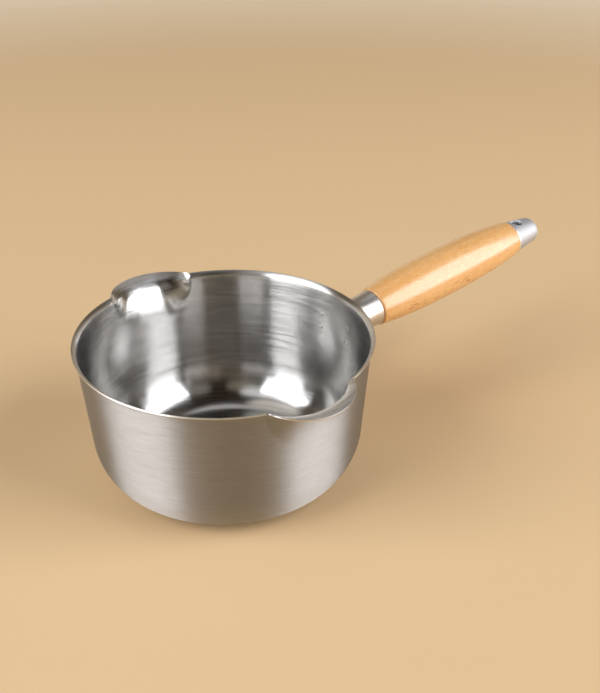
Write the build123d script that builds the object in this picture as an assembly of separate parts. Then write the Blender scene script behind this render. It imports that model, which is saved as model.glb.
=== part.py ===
from build123d import *
import os
from math import acos, asin, atan2, cos, degrees, hypot, radians, sin, tan

# A small milk pan: a deep drawn steel pan with two pouring spouts and a wooden handle.
# Millimetres and degrees. The origin is the centre of the base, on the pan's axis, where it
# stands. +Z is up, +X runs along the handle, and the spouts point to +Y and -Y.

# Pan
sheet = 0.8
lip_radius = 78.0
rim_height = 81.0
wall_taper = 5.0
low_corner_radius = 28.0
high_corner_radius = 32.0
corner_split = 29.0
lip_bend_radius = 3.6
lip_end_angle = 73.0

# Pouring spouts, measured out and down from the rim
spout_overhang = 13.2
spout_depth = 28.0
spout_dip = 1.6
spout_bend_radius = 13.3
spout_ramp_angle = 58.0
spout_ramp_pull = 2.87
spout_end_angle = 97.0

# The spouts are pressed by a punch that gets rounder towards the rim, against a die whose edge
# rounds the creases. At the foot the punch is nearly as wide as the wall.
punch_rim_radius = 26.2
punch_lip_radius = 31.0
punch_foot_share = 0.95
punch_power = 1.2
crease_radius = 3.0
first_press = 0.1

# How many rings of each skin lie on each stretch
low_corner_count = 7
high_corner_count = 4
wall_count = 3
spout_count = 13
lip_count = 6

# Wooden handle, turned to a slightly oval barrel, with its front end this far out from the rim
wood_stand_off = 23.05
wood_start_drop = 16.13
handle_rise = 6.57
wood_length = 109.8
wood_mid_radius = 13.95
wood_front_radius = 11.0
wood_back_radius = 10.5
wood_front_round = 0.9
wood_back_round = 0.5
belly_share = 0.46
belly_power = 2.5
width_share = 1.04
wood_section_count = 13
tenon_length = 9.0
rod_clearance = 0.3
counterbore_radius = 6.3
counterbore_depth = 11.0

# Ferrule between the pan and the wood
ferrule_sheet = 0.8
ferrule_mouth_radius = 10.5
ferrule_waist_radius = 9.7
ferrule_root_radius = 13.8
ferrule_root_width_share = 1.12
ferrule_flare_power = 1.4
ferrule_waist_back = 11.0
ferrule_lip_round = 0.3
ferrule_section_count = 9
shoulder_gap = 0.4
tenon_clearance = 0.3
seat_gap = 0.05

# Bracket welded to the wall inside the ferrule
bracket_sheet = 1.2
ear_side_margin = 2.1
ear_edge_margin = 1.75
ear_corner_radius = 3.0
leg_half_width = 8.0
leg_half_height = 4.8
bracket_height = 8.9

# Spot welds that hold the bracket
weld_radius = 1.0
weld_half_spacing = 10.5
weld_depth_high = 16.3
weld_depth_low = 24.0
weld_pip = 0.25

# Screwed parts on the handle's axis
rod_radius = 3.0
rod_chamfer = 0.5
rod_past_nut = 1.3
thread_gap = 0.05
nut_flat_radius = 5.0
nut_thickness = 5.0
washer_radius = 6.0
washer_thickness = 1.6
spring_radius = 5.6
spring_thickness = 1.5
spring_slit = 1.2

# End cap
cap_length = 21.0
cap_base_radius = 10.0
cap_end_radius = 7.15
cap_droop = 0.8
cap_nose_round = 4.8
cap_bevel = 0.6
cap_section_count = 5
spigot_radius = 5.6
cap_thread_depth = 2.2
hanging_hole_radius = 3.3
hanging_hole_back = 7.0
hanging_hole_bevel = 0.4

# One overrun serves every cut that runs past a face
overrun = 4.0

right_angle = 90
half_turn = 180


def side(angle):
    """Unit vector square to a skin that climbs at this angle from straight up, outwards."""
    return cos(radians(angle)), -sin(radians(angle))


def moved(point, step, length):
    return point[0] + step[0] * length, point[1] + step[1] * length


def steps(count):
    """Equal shares from 0 to 1, with both ends."""
    return [k / count for k in range(count + 1)]


def between(start, end, share):
    return start + (end - start) * share


# The pan's half section is a chain of arcs and one straight line. Every point of the inner
# skin has the angle of the skin there, so the outer skin is one sheet thickness away.

lip_end = (lip_radius - sheet * side(lip_end_angle)[0], rim_height)
lip_centre = moved(lip_end, side(lip_end_angle), lip_bend_radius)
lip_start = moved(lip_centre, side(wall_taper), -lip_bend_radius)

low_inner_radius = low_corner_radius - sheet
high_inner_radius = high_corner_radius - sheet


def corner_centres(flat_radius):
    low = (flat_radius, low_corner_radius)
    split = moved(low, side(corner_split), low_inner_radius)
    return low, moved(split, side(corner_split), -high_inner_radius)


def wall_start(flat_radius):
    high = corner_centres(flat_radius)[1]
    return moved(high, side(wall_taper), high_inner_radius)


def wall_radius(height):
    """Radius of the inner skin on the tapered wall, carried past both of its ends."""
    return lip_start[0] - (lip_start[1] - height) * tan(radians(wall_taper))


flat_base_radius = wall_radius(wall_start(0)[1]) - wall_start(0)[0]
spout_foot = rim_height - spout_depth
punch_foot_radius = wall_radius(spout_foot) * punch_foot_share


def hermite(start, leave, end, arrive, share):
    """Point and slope on a smooth curve with these steps at its start and its end."""
    weights = (2 * share**3 - 3 * share**2 + 1, share**3 - 2 * share**2 + share,
               3 * share**2 - 2 * share**3, share**3 - share**2)
    slopes = (6 * share**2 - 6 * share, 3 * share**2 - 4 * share + 1,
              6 * share - 6 * share**2, 3 * share**2 - 2 * share)
    terms = (start, leave, end, arrive)
    point = tuple(sum(w * term[i] for w, term in zip(weights, terms)) for i in (0, 1))
    slope = tuple(sum(w * term[i] for w, term in zip(slopes, terms)) for i in (0, 1))
    return point, slope


def climb(angle, length):
    return sin(radians(angle)) * length, cos(radians(angle)) * length


spout_end = (lip_radius + spout_overhang, rim_height - spout_dip)
spout_centre = moved(spout_end, side(spout_end_angle), spout_bend_radius)
spout_ramp_end = moved(spout_centre, side(spout_ramp_angle), -spout_bend_radius)


def pressed(radius, reach, punch, die):
    """Where a punch and a die's edge shape one side of a ring, as distances from the axis and
    angles from the spout's middle: the end of the plain wall, the crease, and the punch's start."""
    centre = reach - punch
    edge = radius + die
    wall_angle = acos((centre**2 + edge**2 - (punch + die)**2) / (2 * centre * edge))
    across, outward = edge * sin(wall_angle), edge * cos(wall_angle)
    lean = atan2(across, outward - centre)
    start = punch * sin(lean), centre + punch * cos(lean)
    halfway = (wall_angle + lean) / 2
    crease = across - die * sin(halfway), outward - die * cos(halfway)
    bent = [(hypot(*point), degrees(atan2(*point))) for point in (crease, start)]
    return [(radius, degrees(wall_angle))] + bent


def unpressed(radius):
    """The same three places on a round ring, at the angles where a spout just starts."""
    foot = wall_radius(spout_foot)
    begun = pressed(foot, foot + first_press, punch_foot_radius, crease_radius)
    return [(radius, angle) for _, angle in begun]


class Station:
    """One ring of the pan: where it passes the plain wall and the middle of the spouts."""

    def __init__(self, plain, plain_side, tip, tip_side, punch=0):
        self.plain = plain
        self.plain_side = plain_side
        self.tip = tip
        self.tip_side = tip_side
        self.punch = punch

    def ring(self, offset):
        """The closed ring, on the inner skin or this far outside it."""
        radius, height = moved(self.plain, self.plain_side, offset)
        reach, tip_height = moved(self.tip, self.tip_side, offset)
        if self.punch:
            drop = (tip_height - height) / (reach - radius)
            wall, crease, start = pressed(radius, reach, self.punch + offset, crease_radius - offset)
        else:
            drop = 0
            wall, crease, start = unpressed(radius)

        def at(place, middle, way):
            return turned(place[0], height + (place[0] - radius) * drop, middle + way * place[1])

        def spout(middle):
            tip = turned(reach, tip_height, middle)
            return [ThreePointArc(at(wall, middle, -1), at(crease, middle, -1), at(start, middle, -1)),
                    ThreePointArc(at(start, middle, -1), tip, at(start, middle, 1)),
                    ThreePointArc(at(start, middle, 1), at(crease, middle, 1), at(wall, middle, 1))]

        def plain(middle):
            first, last = at(wall, middle - right_angle, 1), at(wall, middle + right_angle, -1)
            return [ThreePointArc(first, turned(radius, height, middle), last)]

        return Wire(plain(0) + spout(right_angle) + plain(half_turn) + spout(-right_angle))


def turned(radius, height, angle):
    return radius * cos(radians(angle)), radius * sin(radians(angle)), height


def round_station(point, angle):
    return Station(point, side(angle), point, side(angle))


def corner_stations():
    low, high = corner_centres(flat_base_radius)
    angles = [between(right_angle, corner_split, share) for share in steps(low_corner_count)]
    found = [round_station(moved(low, side(a), low_inner_radius), a) for a in angles]
    angles = [between(corner_split, wall_taper, share) for share in steps(high_corner_count)[1:]]
    return found + [round_station(moved(high, side(a), high_inner_radius), a) for a in angles]


def wall_stations():
    start = wall_start(flat_base_radius)[1]
    heights = [between(start, spout_foot, share) for share in steps(wall_count)[1:]]
    return [round_station((wall_radius(z), z), wall_taper) for z in heights]


def spout_stations():
    """Rings from the foot of the spouts to where the lip starts to bend."""
    found = []
    foot = (wall_radius(spout_foot), spout_foot)
    run_up = spout_ramp_end[0] - foot[0], spout_ramp_end[1] - foot[1]
    # With a pull below three the spout's floor never turns back inside the wall
    out = run_up[0] * side(wall_taper)[0] + run_up[1] * side(wall_taper)[1]
    leave = climb(wall_taper, hypot(*run_up))
    arrive = climb(spout_ramp_angle, out * spout_ramp_pull / sin(radians(spout_ramp_angle - wall_taper)))
    for share in steps(spout_count)[1:]:
        height = between(spout_foot, lip_start[1], share)
        tip, slope = hermite(foot, leave, spout_ramp_end, arrive, share)
        run = hypot(*slope)
        tip_side = (slope[1] / run, -slope[0] / run)
        punch = between(punch_foot_radius, punch_lip_radius, share**punch_power)
        found.append(Station((wall_radius(height), height), side(wall_taper), tip, tip_side, punch))
    return found


def lip_stations():
    """Rings round the bend of the lip, which turns further in the spouts."""
    found = []
    for share in steps(lip_count)[1:]:
        angle = between(wall_taper, lip_end_angle, share)
        spout_angle = between(spout_ramp_angle, spout_end_angle, share)
        found.append(Station(
            moved(lip_centre, side(angle), -lip_bend_radius), side(angle),
            moved(spout_centre, side(spout_angle), -spout_bend_radius), side(spout_angle),
            between(punch_lip_radius, punch_rim_radius, share)))
    return found


def pan_shell():
    """The pan without its weld holes: inner skin, outer skin, rim edge and the two base discs."""
    stations = corner_stations() + wall_stations() + spout_stations() + lip_stations()
    inner = [station.ring(0) for station in stations]
    outer = [station.ring(sheet) for station in stations]
    rim = Shell.make_loft([outer[-1], inner[-1]], ruled=True)
    skins = [Shell.make_loft(inner), Shell.make_loft(outer), rim]
    faces = [face for skin in skins for face in skin.faces()]
    return Solid(Shell(faces + [Face(inner[0]), Face(outer[0])]))


def wall_cone(offset):
    """A solid cone frustum whose side lies this far outside the pan's outer skin."""
    low = wall_start(flat_base_radius)[1]
    high = rim_height
    spread = (sheet + offset) / cos(radians(wall_taper))
    cone = Cone(wall_radius(low) + spread, wall_radius(high) + spread, high - low)
    return Pos(0, 0, (low + high) / 2) * cone


def weld_places():
    """Frames on the inner skin at the four welds, with Z square to the wall, outwards."""
    frames = []
    for depth in (weld_depth_high, weld_depth_low):
        height = rim_height - depth
        spread = degrees(asin(weld_half_spacing / wall_radius(height)))
        for angle in (-spread, spread):
            out = turned(cos(radians(wall_taper)), -sin(radians(wall_taper)), angle)
            place = turned(wall_radius(height), height, angle)
            frames.append(Plane(origin=place, z_dir=out))
    return frames


weld_length = sheet + seat_gap + bracket_sheet


def weld_holes():
    holes = [plane.offset(-overrun) * extrude(Circle(weld_radius), weld_length + 2 * overrun)
             for plane in weld_places()]
    return holes


def pan_body():
    return pan_shell() - weld_holes()


def spot_welds():
    """Four fused nuggets, a low dome on each face of the two sheets."""
    profile = make_face([
        Line((0, -weld_pip), (0, weld_length + weld_pip)),
        ThreePointArc((0, weld_length + weld_pip), dome_middle(weld_length, 1), (weld_radius, weld_length)),
        Line((weld_radius, weld_length), (weld_radius, 0)),
        ThreePointArc((weld_radius, 0), dome_middle(0, -1), (0, -weld_pip)),
    ])
    nugget = revolve(Plane.XZ * profile, Axis.Z)
    return [plane * nugget for plane in weld_places()]


def dome_middle(level, way):
    """Half way along the arc of a weld's low dome."""
    dome_radius = (weld_radius**2 + weld_pip**2) / (2 * weld_pip)
    half = weld_radius / 2
    return half, level + way * (weld_pip - dome_radius + (dome_radius**2 - half**2) ** 0.5)


# The handle's parts are set out along their own axis, from the front end of the wood

wood_start = (lip_radius + wood_stand_off, 0, rim_height - wood_start_drop)

handle_axis = Plane(
    origin=wood_start,
    x_dir=(0, 1, 0),
    z_dir=(cos(radians(handle_rise)), 0, sin(radians(handle_rise))),
)


def along(distance):
    return handle_axis.offset(distance)


def oval(distance, radius, lift=0.0, wide_share=width_share):
    return along(distance) * Pos(0, lift) * Ellipse(radius * wide_share, radius)


def rod(start, end, radius):
    return along(start) * extrude(Circle(radius), end - start)


def edges_near(shape, distance):
    """The edges that lie on the section at this distance along the handle."""
    plane = along(distance)
    level = plane.origin.dot(plane.z_dir)
    return [edge for edge in shape.edges()
            if all(abs((edge @ share).dot(plane.z_dir) - level) < seat_gap for share in (0, 0.25, 0.5))]


# Ferrule

ferrule_mouth_at = -shoulder_gap
ferrule_waist_at = -ferrule_waist_back
ferrule_root_at = (wall_radius(wood_start[2]) + sheet - wood_start[0]) / cos(radians(handle_rise))


def ferrule_oval(distance, inset):
    """Section of the ferrule: narrowest at the waist, round at the mouth and wide at the root."""
    mouth_share = (distance - ferrule_waist_at) / (ferrule_mouth_at - ferrule_waist_at)
    if mouth_share > 0:
        radius = between(ferrule_waist_radius, ferrule_mouth_radius, mouth_share**2)
        return oval(distance, radius - inset)
    root_share = (distance - ferrule_waist_at) / (ferrule_root_at - ferrule_waist_at)
    flare = root_share**ferrule_flare_power
    radius = between(ferrule_waist_radius, ferrule_root_radius, flare)
    return oval(distance, radius - inset, wide_share=between(width_share, ferrule_root_width_share, flare))


def ferrule_form(inset, past):
    """The ferrule's outside as a solid, or its inside one sheet thickness smaller."""
    start = ferrule_root_at - overrun
    end = ferrule_mouth_at + past
    stations = [between(start, end, share) for share in steps(ferrule_section_count)]
    return loft([ferrule_oval(z, inset) for z in stations])


def ferrule():
    body = ferrule_form(0, 0)
    body = fillet(edges_near(body, ferrule_mouth_at), ferrule_lip_round)
    return body - ferrule_form(ferrule_sheet, overrun) - wall_cone(seat_gap)


# Bracket

bridge_at = ferrule_root_at + bracket_height
bridge_start = bridge_at - bracket_sheet
bracket_start = ferrule_root_at - overrun


ear_half_width = weld_half_spacing + ear_side_margin
ear_half_height = (weld_depth_low - weld_depth_high) / 2 + ear_edge_margin
weld_middle = rim_height - (weld_depth_high + weld_depth_low) / 2
axis_at_wall = wood_start[2] + ferrule_root_at * sin(radians(handle_rise))
ear_lift = weld_middle - axis_at_wall


def block(half_width, half_height, start, end):
    return along(start) * extrude(Rectangle(2 * half_width, 2 * half_height), end - start)


def handle_bracket():
    """A strap bent like a hat: two ears on the wall, two legs and a bridge with a hole."""
    outline = RectangleRounded(2 * ear_half_width, 2 * ear_half_height, ear_corner_radius)
    ears = along(bracket_start) * Pos(0, ear_lift) * extrude(outline, bridge_start - bracket_start)
    ears = ears & wall_cone(seat_gap + bracket_sheet)
    legs = block(leg_half_width, leg_half_height, bracket_start, bridge_at)
    inside = block(leg_half_width - bracket_sheet, ear_half_height + overrun, bracket_start, bridge_start)
    strap = ears + legs - inside - wall_cone(seat_gap)
    return strap - rod(bridge_start - overrun, bridge_at + overrun, rod_radius + rod_clearance) - weld_holes()


nut_start = bridge_start - nut_thickness


def bracket_nut():
    """A hexagon nut, welded to the pan side of the bridge."""
    hexagon = along(nut_start) * extrude(RegularPolygon(nut_flat_radius, 6, major_radius=False), nut_thickness)
    return hexagon - rod(nut_start - overrun, bridge_start + overrun, rod_radius + thread_gap)


# Wood

counterbore_floor = wood_length - counterbore_depth
tenon_end = -tenon_length
tenon_radius = ferrule_waist_radius - ferrule_sheet - tenon_clearance


def wood_radius(distance):
    share = distance / wood_length
    end_radius = wood_front_radius if share < belly_share else wood_back_radius
    stretch = belly_share if share < belly_share else 1 - belly_share
    run = abs(share - belly_share) / stretch
    return between(wood_mid_radius, end_radius, run**belly_power)


def wooden_handle():
    """Barrel with a tenon for the ferrule, a bore for the rod and a counterbore for the cap."""
    stations = [wood_length * share for share in steps(wood_section_count)]
    barrel = loft([oval(z, wood_radius(z)) for z in stations])
    barrel = fillet(edges_near(barrel, 0), wood_front_round)
    barrel = fillet(edges_near(barrel, wood_length), wood_back_round)
    tenon = along(tenon_end) * extrude(Ellipse(tenon_radius * width_share, tenon_radius), 2 * tenon_length)
    bore = rod(tenon_end - overrun, wood_length, rod_radius + rod_clearance)
    return barrel + tenon - bore - rod(counterbore_floor, wood_length + overrun, counterbore_radius)


# Screwed parts

washer_end = counterbore_floor + washer_thickness
spring_end = washer_end + spring_thickness
rod_end = wood_length + cap_thread_depth


def tie_rod():
    body = rod(nut_start - rod_past_nut, rod_end, rod_radius)
    return chamfer(body.edges().filter_by(GeomType.CIRCLE), rod_chamfer)


def flat_washer():
    hole = rod(counterbore_floor - overrun, washer_end + overrun, rod_radius + rod_clearance)
    return rod(counterbore_floor, washer_end, washer_radius) - hole


def spring_washer():
    hole = rod(washer_end - overrun, spring_end + overrun, rod_radius + rod_clearance)
    slit = along(washer_end - overrun) * Pos(0, spring_radius) * extrude(
        Rectangle(spring_slit, 2 * spring_radius), spring_thickness + 2 * overrun)
    return rod(washer_end, spring_end, spring_radius) - hole - slit


# End cap

cap_start = wood_length
cap_end = wood_length + cap_length
hanging_hole_at = cap_start + hanging_hole_back


hole_axis = Plane(origin=along(hanging_hole_at).origin, x_dir=(0, 1, 0), z_dir=handle_axis.y_dir)


def hanging_hole():
    """Bore across the cap, square to the handle's axis, top to bottom."""
    reach = 2 * cap_base_radius
    return hole_axis.offset(-reach) * extrude(Circle(hanging_hole_radius), 2 * reach)


def hanging_hole_edges(shape):
    """The two mouths of the hanging hole."""
    def is_mouth(edge):
        offsets = [hole_axis.to_local_coords(edge @ share) for share in (0, 0.25, 0.5)]
        return all(abs(hypot(o.X, o.Y) - hanging_hole_radius) < seat_gap for o in offsets)

    def is_level(edge):
        return hole_axis.to_local_coords(edge.bounding_box()).size.Z < hanging_hole_radius

    return [edge for edge in shape.edges() if is_mouth(edge) and is_level(edge)]


def end_cap():
    """Tapered cap with a round nose, a bevelled base, a hanging hole and a threaded spigot."""
    shares = steps(cap_section_count)
    body = loft([oval(between(cap_start, cap_end, share), between(cap_base_radius, cap_end_radius, share),
                      -cap_droop * share) for share in shares])
    body = fillet(edges_near(body, cap_end), cap_nose_round)
    body = chamfer(edges_near(body, cap_start), cap_bevel)
    body = body - hanging_hole()
    body = chamfer(hanging_hole_edges(body), hanging_hole_bevel)
    body = body + rod(spring_end, cap_start + cap_bevel, spigot_radius)
    return body - rod(spring_end - overrun, rod_end, rod_radius + thread_gap)


nodes = {
    "pan_body": pan_body,
    "spot_welds": spot_welds,
    "handle_bracket": handle_bracket,
    "bracket_nut": bracket_nut,
    "ferrule": ferrule,
    "wooden_handle": wooden_handle,
    "tie_rod": tie_rod,
    "flat_washer": flat_washer,
    "spring_washer": spring_washer,
    "end_cap": end_cap,
}

os.makedirs("parts", exist_ok=True)
for name, make in nodes.items():
    made = make()
    export_step(Compound(children=made) if isinstance(made, list) else made, f"parts/{name}.step")
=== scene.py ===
# %% [markdown]
# # A small milk pan
#
# The real object is a deep drawn steel pan with two pouring spouts, on a turned beech handle.
# The engineering model already gives every part its place and size, so this script loads it as
# a fixed frame and dresses it. Where a surface is in sight, a finer mesh replaces the solid.
# Parts that hide inside the handle keep their solids and only get a finish.

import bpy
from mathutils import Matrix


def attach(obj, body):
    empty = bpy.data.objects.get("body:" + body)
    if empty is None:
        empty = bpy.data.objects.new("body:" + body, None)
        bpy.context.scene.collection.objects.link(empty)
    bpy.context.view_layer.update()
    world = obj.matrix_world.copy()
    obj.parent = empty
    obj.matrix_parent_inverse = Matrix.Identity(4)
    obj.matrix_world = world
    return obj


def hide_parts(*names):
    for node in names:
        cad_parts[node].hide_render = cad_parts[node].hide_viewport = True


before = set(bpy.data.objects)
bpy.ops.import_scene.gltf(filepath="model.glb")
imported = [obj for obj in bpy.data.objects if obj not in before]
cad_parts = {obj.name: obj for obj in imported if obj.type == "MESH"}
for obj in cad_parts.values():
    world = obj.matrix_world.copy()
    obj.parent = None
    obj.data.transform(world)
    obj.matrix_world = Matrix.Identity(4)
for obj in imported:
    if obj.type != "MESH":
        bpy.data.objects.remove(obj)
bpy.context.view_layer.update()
print("solids:", sorted(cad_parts))

# %% [markdown]
# Everything below is written in millimetres, because that is how a maker thinks of a pan.
# Blender works in metres, so one number turns the first into the second. Colours are written
# as the hex codes of a paint chart, which have a curve in them that light doesn't have, so one
# function takes that curve out.

# %% Millimetres, colours and one helper for nodes
from math import acos, asin, atan2, cos, degrees, hypot, pi, radians, sin, sqrt, tan

import bmesh
import bpy
from mathutils import Matrix, Vector

MM = 0.001
scene = bpy.context.scene
scene.view_settings.view_transform = "Standard"


def linear(code):
    """A hex colour as linear red, green, blue, and full alpha."""
    parts = [int(code[i:i + 2], 16) / 255 for i in (1, 3, 5)]
    return [c / 12.92 if c <= 0.04045 else ((c + 0.055) / 1.055) ** 2.4 for c in parts] + [1]


def add(tree, kind, settings=None, links=None):
    """Adds a node. A setting's name is a socket's name or number, or else a property."""
    made = tree.nodes.new("ShaderNode" + kind)
    for name, value in (settings or {}).items():
        if isinstance(name, int) or name in made.inputs:
            made.inputs[name].default_value = value
        else:
            setattr(made, name, value)
    for name, source in (links or {}).items():
        tree.links.new(source, made.inputs[name])
    return made


print("beech brown in linear light:", [round(c, 3) for c in linear("#D9A066")])

# %% [markdown]
# ## The camera
#
# The photograph looks down on the pan with a longish lens, and the handle points away to the
# right. The camera's place and turn were solved from the rim, the base and the handle. A camera
# looks down its own -Z, so its turn is built from three directions: right, up, and back
# towards the eye.

# %% Camera
EYE = Vector((-0.2689, -0.4191, 0.3562))
YAW, PITCH, ROLL = radians(52.82), radians(29.619), radians(-0.38)
FOCAL_LENGTH = 57.29

ahead = Vector((cos(YAW) * cos(PITCH), sin(YAW) * cos(PITCH), -sin(PITCH)))
level = Vector((sin(YAW), -cos(YAW), 0))
above = level.cross(ahead)
right = level * cos(ROLL) + above * sin(ROLL)
up = above * cos(ROLL) - level * sin(ROLL)

camera = bpy.data.objects.new("camera", bpy.data.cameras.new("camera"))
camera.data.lens = FOCAL_LENGTH
camera.data.clip_start = 0.01
camera.matrix_world = Matrix.Translation(EYE) @ Matrix((right, up, -ahead)).transposed().to_4x4()
scene.collection.objects.link(camera)
scene.camera = camera
print("camera stands", round(EYE.length, 3), "m from the base")

# %% [markdown]
# ## Floor and light
#
# Steel has hardly any colour of its own. What we see in it is the room, so the room comes
# first: a pale warm floor, one large soft light on each side of the camera, and dark behind
# the camera. The floor is one flat disc. It could have been a large square, but its edge would
# show as a line, so the disc turns clear towards its edge and the pale room takes over.

# %% Floor
# Metres. The floor starts to clear at the first of the two distances and is gone at the second
FLOOR_RADIUS = 1.6
FADE_FROM, FADE_TO = 0.75, 1.45


def new_material(name):
    """A new material, with its node tree and its shader."""
    made = bpy.data.materials.new(name)
    made.use_nodes = True
    return made, made.node_tree, made.node_tree.nodes["Principled BSDF"]


def add_piece(name, bm, *materials):
    """Turns a finished bmesh into an object with smooth faces, at the origin."""
    mesh = bpy.data.meshes.new(name)
    bm.to_mesh(mesh)
    bm.free()
    mesh.polygons.foreach_set("use_smooth", [True] * len(mesh.polygons))
    for material in materials:
        mesh.materials.append(material)
    piece = bpy.data.objects.new(name, mesh)
    scene.collection.objects.link(piece)
    print(name, len(mesh.vertices), "vertices")
    return piece


# Uncoated card: it has hardly any gloss, so it shows the shadow and no reflection
card, tree, shader = new_material("card_uncoated")
shader.inputs["Base Color"].default_value = linear("#DABB90")
shader.inputs["Roughness"].default_value = 0.9
shader.inputs["Specular IOR Level"].default_value = 0.1
where = add(tree, "TexCoord").outputs["Object"]
far = add(tree, "VectorMath", {"operation": "LENGTH"}, {0: where})
fade = add(tree, "MapRange", {"interpolation_type": "SMOOTHSTEP", 1: FADE_FROM, 2: FADE_TO},
           {0: far.outputs["Value"]})
clear = add(tree, "BsdfTransparent")
mix = add(tree, "MixShader", {}, {0: fade.outputs["Result"], 1: shader.outputs[0],
                                  2: clear.outputs[0]})
tree.links.new(mix.outputs[0], tree.nodes["Material Output"].inputs["Surface"])
bm = bmesh.new()
bmesh.ops.create_circle(bm, cap_ends=True, segments=128, radius=FLOOR_RADIUS)
add_piece("floor", bm, card)

# %% [markdown]
# The two large lights could be lamps or glowing sheets. Area lamps were chosen, because they
# show in the steel as soft bright columns and also cast the soft shadow on the floor.

# %% Two soft lights
# Metres: out from the pan, from top to bottom, and the middle's height above the floor
LIGHT_DISTANCE = 2.0
LIGHT_HEIGHT = 2.7
LIGHT_MIDDLE = 1.38
# Watts for each metre of width
LIGHT_POWER = 42.2


def soft_light(name, angle, width):
    """A sheet of cloth with a lamp behind it, at this angle round the pan."""
    lamp = bpy.data.lights.new(name, "AREA")
    lamp.shape = "RECTANGLE"
    lamp.size, lamp.size_y = width, LIGHT_HEIGHT
    lamp.energy = LIGHT_POWER * width
    lamp.color = linear("#F8FAFF")[:3]
    place = bpy.data.objects.new(name, lamp)
    turn = Matrix.Rotation(radians(angle), 4, "Z")
    # A lamp shines down its own -Z, so its Z is turned outwards and its Y stays up
    outwards = Vector((1, 0, 0)).to_track_quat("Z", "Y").to_matrix().to_4x4()
    stand = Matrix.Translation((LIGHT_DISTANCE, 0, LIGHT_MIDDLE))
    place.matrix_world = turn @ stand @ outwards
    place.visible_camera = False
    scene.collection.objects.link(place)
    print(name, "gives", round(lamp.energy, 1), "watts")


soft_light("light_left", 170, 2.05)
soft_light("light_right", -53, 1.85)

# %% [markdown]
# The rest of the room is drawn in the world's own colour, as a few soft patches round the
# pan. Photographed panels or a picture of a studio could do this too, but patches are plain to
# change. A patch is measured by how closely a direction points to its middle.

# %% Room
room = bpy.data.worlds.new("room")
scene.world = room
room.use_nodes = True
tree = room.node_tree
direction = add(tree, "TexCoord").outputs["Generated"]


def toward(angle, rise):
    """Unit vector at this angle round the pan and this rise above the floor."""
    angle, rise = radians(angle), radians(rise)
    return cos(angle) * cos(rise), sin(angle) * cos(rise), sin(rise)


def patch(colour, code, middle, inner, outer):
    """Paints a round patch over a colour, full inside one angle and gone outside the other."""
    near = add(tree, "VectorMath", {"operation": "DOT_PRODUCT", 1: middle}, {0: direction})
    share = add(tree, "MapRange", {"interpolation_type": "SMOOTHSTEP", 1: cos(radians(outer)),
                                   2: cos(radians(inner))}, {0: near.outputs["Value"]})
    mix = add(tree, "Mix", {"data_type": "RGBA", 7: linear(code)},
              {0: share.outputs["Result"], 6: colour})
    return mix.outputs[2]


# Colour, angle round the pan, rise above the floor, and the patch's inner and outer angle
PATCHES = (
    ("#7E705E", 57, 12, 26, 46),     # the far side of the room
    ("#2B231B", -122, 40, 56, 66),   # the dark behind the camera
    ("#8A8680", -88, 44, 8, 16),     # a dim spot in that dark, to the right
    ("#DCCDBB", 86, 10, 18, 28),     # a pale glow beyond the left spout
    ("#D0CECE", 53, 72, 8, 16),      # high above the far side
    ("#857E70", -139, 45, 9, 14),    # a dim spot in the dark, to the left
    ("#D2CCC4", 134, 66, 10, 18),    # high on the left
    ("#F2F2F2", -162, 57, 7, 14),    # a bright spot beside the top of the left light
    ("#DCCAB0", 0, -90, 98, 108),    # the pale low room past the edge of the floor
)

start = add(tree, "RGB")
start.outputs[0].default_value = linear("#5C5247")
colour = start.outputs[0]
for code, angle, height, inner, outer in PATCHES:
    colour = patch(colour, code, toward(angle, height), inner, outer)
print(len(PATCHES), "patches in the room")
world_light = tree.nodes["Background"]
tree.links.new(colour, world_light.inputs["Color"])
world_light.inputs["Strength"].default_value = 1.0

# %% [markdown]
# ## Brushed steel
#
# The pan was spun against an abrasive belt, which left fine grooves that run round it. Light
# spreads across grooves, so each reflection is drawn out up and down. A picture of scratches
# could give that look, but the shader has it built in as anisotropy. It needs the way of the
# grooves, which is the direction round the axis, and then noise adds the lines that the eye
# can pick out.

# %% Lines that run round an axis
# Real grooves are some hundredths of a millimetre apart, which is too fine to show, so they
# are drawn coarser, at these distances in millimetres
INSIDE_GROOVES, OUTSIDE_GROOVES, FITTING_GROOVES, BRACKET_GROOVES = 0.45, 0.35, 0.5, 0.6


def round_axis(tree, origin, axis):
    """For a surface turned about an axis: where it is, its radius, and its way round."""
    where = add(tree, "TexCoord").outputs["Object"]
    offset = add(tree, "VectorMath", {"operation": "SUBTRACT", 1: origin}, {0: where})
    along = add(tree, "VectorMath", {"operation": "DOT_PRODUCT", 1: axis},
                {0: offset.outputs["Vector"]})
    back = add(tree, "VectorMath", {"operation": "SCALE", 0: axis},
               {"Scale": along.outputs["Value"]})
    spoke = add(tree, "VectorMath", {"operation": "SUBTRACT"},
                {0: offset.outputs["Vector"], 1: back.outputs["Vector"]})
    way = add(tree, "VectorMath", {"operation": "CROSS_PRODUCT", 0: axis},
              {1: spoke.outputs["Vector"]})
    return along.outputs["Value"], spoke.outputs["Vector"], way.outputs["Vector"]


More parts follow.
